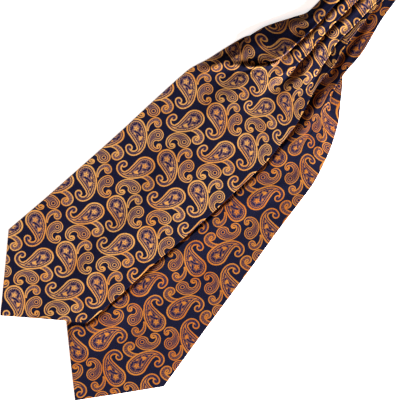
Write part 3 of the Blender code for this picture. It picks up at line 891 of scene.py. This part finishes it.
# The drop: depths from its outline inward, and gaps in its rings as parts of a wave that runs round it
HEAD_WAY = (-0.52, 0.854)
HEAD_RADIUS = 9.0
DROP_RIM = (1.75, 2.0)
DROP_MAUVE = (1.4, 1.7)
DROP_LINE = (2.0, 3.05)
DROP_BEADS = (3.15, 4.05)
BEAD_STEP = 2.3
BEAD_GAP = (-0.6, 0.0)
DROP_FRINGE = (4.2, 5.45)
FRINGE_STEP = 1.5 * BEAD_STEP
FRINGE_GAP = (-0.7, -0.1)
DROP_FIELD = 5.2
TAIL_FROM = (20.0, 26.0)  # along the drop
TAIL_NARROWER = 0.4
TAIL_LINE = (2.0, 6.0)
TAIL_LINE_BLUE = 0.5
FLOWER = (0.3, -0.3)
FLOWER_EYE = (0.5, 0.8)
PETALS = 5.0
PETAL_REACH = 2.5
PETAL_DEPTH = 0.9
# The stem: depths, and gaps in its vein
STEM_RIM = 1.15
STEM_MAUVE = (1.05, 1.3)
STEM_VEIN = (1.5, 1.7)
VEIN_GAP = (-0.2, 0.3)
VEIN_BLUE = 0.6
# The bud: depths, and distances from the eye in its head
BUD_RIM = 1.2
BUD_MAUVE = (1.0, 1.25)
BUD_BLUE_LINE = (1.2, 2.25)
BUD_GOLD_LINE = (2.35, 2.95)
BUD_CORE = (2.8, 3.0)
BUD_BODY = (9.0, 12.0)  # along the bud
CORE_BLUE = 0.45
EYE = (27.4, -9.0)
EYE_DOT = 1.7
EYE_BLUE_RING = (2.6, 3.8)
EYE_GOLD_RINGS = ((1.6, 2.5, 0.8), (3.7, 4.4, 0.35))
LINE_GOLD = 0.8
# Blobs in the drop: x, y, half length, half width, turn in degrees
GOLD_BLOBS = (
    (5.4, -12.4, 2.5, 1.7, 68.0),
    (3.9, -11.0, 1.7, 0.8, 110.0),
    (7.2, -11.0, 1.7, 0.8, 40.0),
    (7.0, -4.4, 1.6, 0.7, -60.0),
    (-1.6, -6.4, 1.8, 0.7, -52.0),
    (5.2, -18.6, 1.8, 0.6, 80.0),
)
BLUE_BLOBS = (
    (-1.0, 4.9, 3.2, 1.1, 14.0),
    (-4.9, 0.2, 3.2, 1.2, 78.0),
    (4.7, 3.4, 3.0, 1.2, -48.0),
    (5.0, -1.6, 2.8, 1.1, 80.0),
    (0.8, -4.9, 4.0, 1.1, -28.0),
    (4.4, -7.8, 2.7, 1.0, -50.0),
    (1.8, -9.4, 2.6, 1.0, -56.0),
    (8.6, -8.6, 3.2, 0.8, 82.0),
    (5.7, -16.0, 2.4, 1.1, 72.0),
)


def blob(x, y, row):
    cx, cy, long, short, angle = row
    c, s = math.cos(math.radians(angle)), math.sin(math.radians(angle))
    dx, dy = x - cx, y - cy
    u = (dx * c + dy * s) * (1.0 / long)
    v = (dy * c - dx * s) * (1.0 / short)
    return length(u, v) - 1.0


def map_place(tree, name):
    """A map's two numbers."""
    node = tree.nodes.new("ShaderNodeUVMap")
    node.uv_map = name
    split = tree.nodes.new("ShaderNodeSeparateXYZ")
    tree.links.new(node.outputs["UV"], split.inputs[0])
    return Wire(tree, split.outputs["X"]), Wire(tree, split.outputs["Y"])


def drop_layers(x, y, distance, run):
    """Gold, mauve and blue in the drop: rim, line, beads, a broken fringe, and the field with its flower."""
    depth = distance * -1.0
    side = calc("ARCTAN2", y * HEAD_WAY[0] - x * HEAD_WAY[1], x * HEAD_WAY[0] + y * HEAD_WAY[1])
    turn = share(side, -math.pi / 2, math.pi / 2) * math.pi - math.pi / 2
    travel = turn * HEAD_RADIUS + calc("SIGN", turn) * run
    tail = share(run, *TAIL_FROM)
    narrower = tail * -TAIL_NARROWER
    rim = share(depth, narrower + DROP_RIM[1], narrower + DROP_RIM[0])
    beads = share(calc("SINE", travel * (2 * math.pi / BEAD_STEP)), *BEAD_GAP)
    beads = most(beads, tail) * band(depth, *DROP_BEADS)
    fringe = share(calc("SINE", travel * (2 * math.pi / FRINGE_STEP)), *FRINGE_GAP)
    fringe = band(depth, *DROP_FRINGE) * fringe
    field = share(depth, DROP_FIELD - EDGE, DROP_FIELD + EDGE)
    flower_x, flower_y = x - FLOWER[0], y - FLOWER[1]
    reach = length(flower_x, flower_y)
    petals = calc("COSINE", calc("ARCTAN2", flower_y, flower_x) * PETALS)
    flower = inside(reach - (petals * PETAL_DEPTH + PETAL_REACH)) * share(reach, *FLOWER_EYE)
    gold_blobs = most(*(inside(blob(x, y, row)) for row in GOLD_BLOBS))
    blue_blobs = most(*(inside(blob(x, y, row)) for row in BLUE_BLOBS))
    tail_line = tail * band(depth, *TAIL_LINE) * TAIL_LINE_BLUE
    gold = most(rim, beads, field * most(flower, gold_blobs))
    blue = most(band(depth, *DROP_LINE), fringe, field * blue_blobs, tail_line)
    return gold, share(depth, *DROP_MAUVE), blue


def stem_layers(distance, run):
    """Gold, mauve and blue in the stem: its rim and a dashed vein."""
    depth = distance * -1.0
    dashes = share(calc("SINE", run * (2 * math.pi / BEAD_STEP)), *VEIN_GAP)
    vein = dashes * share(depth, *STEM_VEIN) * VEIN_BLUE
    return band(depth, OUTSIDE, STEM_RIM), share(depth, *STEM_MAUVE), vein


def bud_layers(x, y, distance, run):
    """Gold, mauve and blue in the bud: its rim, two fine lines, its core and the eye in its head."""
    depth = distance * -1.0
    eye = length(x - EYE[0], y - EYE[1])
    rings = [band(eye, low, high) * part for low, high, part in EYE_GOLD_RINGS]
    gold = most(band(depth, OUTSIDE, BUD_RIM), band(depth, *BUD_GOLD_LINE) * LINE_GOLD, *rings)
    core = share(depth, *BUD_CORE) * share(run, *BUD_BODY) * CORE_BLUE
    blue = most(inside(eye - EYE_DOT), band(eye, *EYE_BLUE_RING), band(depth, *BUD_BLUE_LINE), core)
    return gold, share(depth, *BUD_MAUVE), blue


def noise_of(tree, cloth, scale, detail):
    node = tree.nodes.new("ShaderNodeTexNoise")
    node.inputs["Scale"].default_value = scale
    node.inputs["Detail"].default_value = detail
    tree.links.new(cloth.outputs["UV"], node.inputs["Vector"])
    return Wire(tree, node.outputs["Fac"])


NAVY_DARK = linear(2, 2, 4)
NAVY_LIGHT = linear(11, 11, 32)
BLUE = linear(8, 9, 36)
# The back blade's mauve and gold are darker, more orange copies of the front's: painted shade where the back
# blade's turned weave catches less sheen.
MAUVE_FRONT = linear(107, 78, 70)
MAUVE_BACK_PAINTED_SHADE = linear(92, 58, 44)
GOLD_FRONT = linear(178, 131, 69)
GOLD_BACK_PAINTED_SHADE = linear(154, 97, 32)
SHEEN = linear(185, 192, 255)
BLACK = (0.0, 0.0, 0.0)
# The threads' grain, and the patches where the gold turns to orange: the noise's scale and detail, then the
# range of it that is used
GRAIN_NOISE = (900.0, 2.0)
GRAIN = (0.35, 0.65)
GOLD_GRAIN = (0.3, 0.7)
MAUVE_SHADE = 0.3
GOLD_SHADE = 0.45
CAST_NOISE = (26.0, 1.0)
CAST = (0.44, 0.6)
GOLD_CAST = (0.94, 0.76, 0.52)  # orange, as a share of the gold
ROUGHNESS = (0.78, -0.05)  # of the navy, and what the gold adds
GOLD_METALLIC = 0.16
SPECULAR = 0.1
WEAVE_SCALE = 700.0
WEAVE_BUMP = (0.25, 0.0002)  # strength, and height in metres


def silk_material(name, gold_colour, mauve_colour):
    """Navy satin with the motif woven in gold, royal blue and a mauve of the two."""
    material = bpy.data.materials.new(name)
    material.use_nodes = True
    tree = material.node_tree
    shader = tree.nodes["Principled BSDF"]
    places = {kind: map_place(tree, kind) for kind in FIGURES}
    shapes = {kind: figure(*places[kind], FIGURES[kind]) for kind in FIGURES}
    in_drop, in_stem, in_bud = (inside(shapes[kind][0]) for kind in ("drop", "stem", "bud"))

    def layered(drop_part, stem_part, bud_part):
        rest = stem_part * in_stem * (1.0 - in_bud) + bud_part * in_bud
        return drop_part * in_drop + rest * (1.0 - in_drop)

    drop_parts = drop_layers(*places["drop"], *shapes["drop"])
    stem_parts = stem_layers(*shapes["stem"])
    bud_parts = bud_layers(*places["bud"], *shapes["bud"])
    gold, mauve, blue = (layered(*parts) for parts in zip(drop_parts, stem_parts, bud_parts))

    cloth = tree.nodes.new("ShaderNodeUVMap")
    cloth.uv_map = "cloth"
    noise = noise_of(tree, cloth, *GRAIN_NOISE)
    cast = noise_of(tree, cloth, *CAST_NOISE)
    navy = colour_mix(tree, share(noise, *GRAIN), NAVY_DARK, NAVY_LIGHT)
    dark_mauve = tuple(c * MAUVE_SHADE for c in mauve_colour)
    threads = colour_mix(tree, share(noise, *GRAIN), dark_mauve, mauve_colour)
    base = colour_mix(tree, mauve, navy, threads)
    base = colour_mix(tree, blue, base, BLUE)
    orange = tuple(c * k for c, k in zip(gold_colour, GOLD_CAST))
    gold_now = colour_mix(tree, share(cast, *CAST), gold_colour, orange)
    dark_gold = colour_mix(tree, GOLD_SHADE, gold_now, BLACK)
    threads = colour_mix(tree, share(noise, *GOLD_GRAIN), dark_gold, gold_now)
    base = colour_mix(tree, gold, base, threads)
    tree.links.new(base, shader.inputs["Base Color"])
    tree.links.new((gold * ROUGHNESS[1] + ROUGHNESS[0]).socket, shader.inputs["Roughness"])
    tree.links.new((gold * GOLD_METALLIC).socket, shader.inputs["Metallic"])
    shader.inputs["Specular IOR Level"].default_value = SPECULAR
    shader.inputs["Specular Tint"].default_value = (*SHEEN, 1.0)

    bump = tree.nodes.new("ShaderNodeBump")
    bump.inputs["Strength"].default_value = WEAVE_BUMP[0]
    bump.inputs["Distance"].default_value = WEAVE_BUMP[1]
    weave = tree.nodes.new("ShaderNodeTexWave")
    weave.inputs["Scale"].default_value = WEAVE_SCALE
    weave.bands_direction = "DIAGONAL"
    tree.links.new(cloth.outputs["UV"], weave.inputs["Vector"])
    tree.links.new(weave.outputs["Fac"], bump.inputs["Height"])
    tree.links.new(bump.outputs["Normal"], shader.inputs["Normal"])
    return material


front_silk = silk_material("front_silk", GOLD_FRONT, MAUVE_FRONT)
# The back blade gets the same silk, with painted shade in its gold and mauve.
back_silk_painted_shade = silk_material("back_silk_painted_shade", GOLD_BACK_PAINTED_SHADE, MAUVE_BACK_PAINTED_SHADE)


def add_cloth(name, nodes, parts, material):
    mesh = wall_mesh(name, *parts)
    mesh.materials.append(material)
    piece = bpy.data.objects.new(name, mesh)
    bpy.context.scene.collection.objects.link(piece)
    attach(piece, "root")
    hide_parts(*nodes)
    return piece


front_parts = list(grid_of("front", FRONT, columns(FRONT)))
front_parts[3][..., 2] += support(front_parts[3][..., 0], front_parts[3][..., 1])
front_parts = list(bend_round(*front_parts))
back_parts = list(grid_of("back", BACK, columns(BACK)))

# The solids' box is centred over the origin, so its corners give the pivot's place in the frame.
low, high = CAD_BOX
left = min(front_parts[3][..., 0].min(), back_parts[3][..., 0].min())
bottom = min(front_parts[3][..., 1].min(), back_parts[3][..., 1].min())
shift = np.array([low.x / MM - left, low.y / MM - bottom, 0.0])
for parts in (front_parts, back_parts):
    parts[3] = parts[3] + shift

front_nodes = ("front_blade", "front_neck", "neck_turn")
front_cloth = add_cloth("front_cloth", front_nodes, front_parts, front_silk)
back_cloth = add_cloth("back_cloth", ("back_blade", "back_neck"), back_parts, back_silk_painted_shade)

# The two corners that are cut off a blade's end
HEM_LOSS = 0.5 * CUT_WIDTH * SHOULDER_RISE * CUT_WIDTH / 2


def flat_size(parts):
    width, size = CUT_WIDTH * MM, parts[1].max() * MM
    return (width, size), width * size - HEM_LOSS * MM * MM


front_flat, front_area = flat_size(front_parts)
back_flat, back_area = flat_size(back_parts)

# --------------------------------------------------------------------------------------------------
# Table, light and camera
# --------------------------------------------------------------------------------------------------
FLOOR_HALF = 3.0  # metres
FLOOR_DROP = 0.0002
FLOOR_COLOUR = (0.9, 0.9, 0.9, 1.0)
FLOOR_GLOW = 0.78  # lifts the shadows to the photo's pale ones
WORLD_COLOUR = (1.0, 0.42, 0.28, 1.0)
WORLD_STRENGTH = 0.06
# Each light: metres to the right and up in the picture and over the table, size, power and colour
LIGHTS = {
    "key": ((2.1, -1.9, 1.08), 1.4, 660.0, (1.0, 1.0, 1.04)),
    "side": ((-0.9, -1.3, 1.1), 0.6, 20.0, (1.0, 0.6, 0.44)),
}


def add_floor():
    mesh = bpy.data.meshes.new("floor")
    half = FLOOR_HALF
    corners = [(-half, -half, 0), (half, -half, 0), (half, half, 0), (-half, half, 0)]
    mesh.from_pydata(corners, [], [(0, 1, 2, 3)])
    material = bpy.data.materials.new("table")
    material.use_nodes = True
    shader = material.node_tree.nodes["Principled BSDF"]
    shader.inputs["Base Color"].default_value = FLOOR_COLOUR
    shader.inputs["Roughness"].default_value = 0.9
    shader.inputs["Emission Color"].default_value = (1.0, 1.0, 1.0, 1.0)
    shader.inputs["Emission Strength"].default_value = FLOOR_GLOW
    mesh.materials.append(material)
    floor = bpy.data.objects.new("floor", mesh)
    floor.location.z = -FLOOR_DROP
    bpy.context.scene.collection.objects.link(floor)
    return floor


def add_light(name, place, size, power, colour):
    data = bpy.data.lights.new(name, "AREA")
    data.shape = "DISK"
    data.size = size
    data.energy = power
    data.color = colour
    light = bpy.data.objects.new(name, data)
    light.location = place
    light.rotation_mode = "QUATERNION"
    light.rotation_quaternion = (-Vector(place)).to_track_quat("-Z", "Y")
    bpy.context.scene.collection.objects.link(light)


floor = add_floor()

PIXEL = 1.215  # mm on the table for each pixel of the picture
PICTURE = (400, 408)
PIVOT_PIXEL = (392.0, -15.4)
ACROSS_PIXEL = (0.7248, 0.6890)  # the frame's +X in the picture
UP_PIXEL = (0.6890, -0.7248)  # and its +Y
CAMERA_HEIGHT = 2.6  # metres
SENSOR = 36.0

centre = [PICTURE[k] / 2 - PIVOT_PIXEL[k] for k in (0, 1)]
camera_x = shift[0] + PIXEL * (centre[0] * ACROSS_PIXEL[0] + centre[1] * ACROSS_PIXEL[1])
camera_y = shift[1] + PIXEL * (centre[0] * UP_PIXEL[0] + centre[1] * UP_PIXEL[1])
data = bpy.data.cameras.new("camera")
data.sensor_width = SENSOR
data.lens = SENSOR * CAMERA_HEIGHT / (PICTURE[1] * PIXEL * MM)
camera = bpy.data.objects.new("camera", data)
camera.location = (camera_x * MM, camera_y * MM, CAMERA_HEIGHT)
camera.rotation_euler = (0.0, 0.0, math.atan2(ACROSS_PIXEL[1], ACROSS_PIXEL[0]))
bpy.context.scene.collection.objects.link(camera)
bpy.context.scene.camera = camera

world = bpy.data.worlds.new("studio")
world.use_nodes = True
world.node_tree.nodes["Background"].inputs["Color"].default_value = WORLD_COLOUR
world.node_tree.nodes["Background"].inputs["Strength"].default_value = WORLD_STRENGTH
bpy.context.scene.world = world
bpy.context.scene.view_settings.view_transform = "Standard"

# Ways on the table that point to the right and to the top of the picture
RIGHT = np.array([ACROSS_PIXEL[0], UP_PIXEL[0]])
TOP = -np.array([ACROSS_PIXEL[1], UP_PIXEL[1]])


def in_picture(right, top, height):
    spot = right * RIGHT + top * TOP
    return (spot[0], spot[1], height)


for light_name, (place, size, power, colour) in LIGHTS.items():
    add_light(light_name, in_picture(*place), size, power, colour)
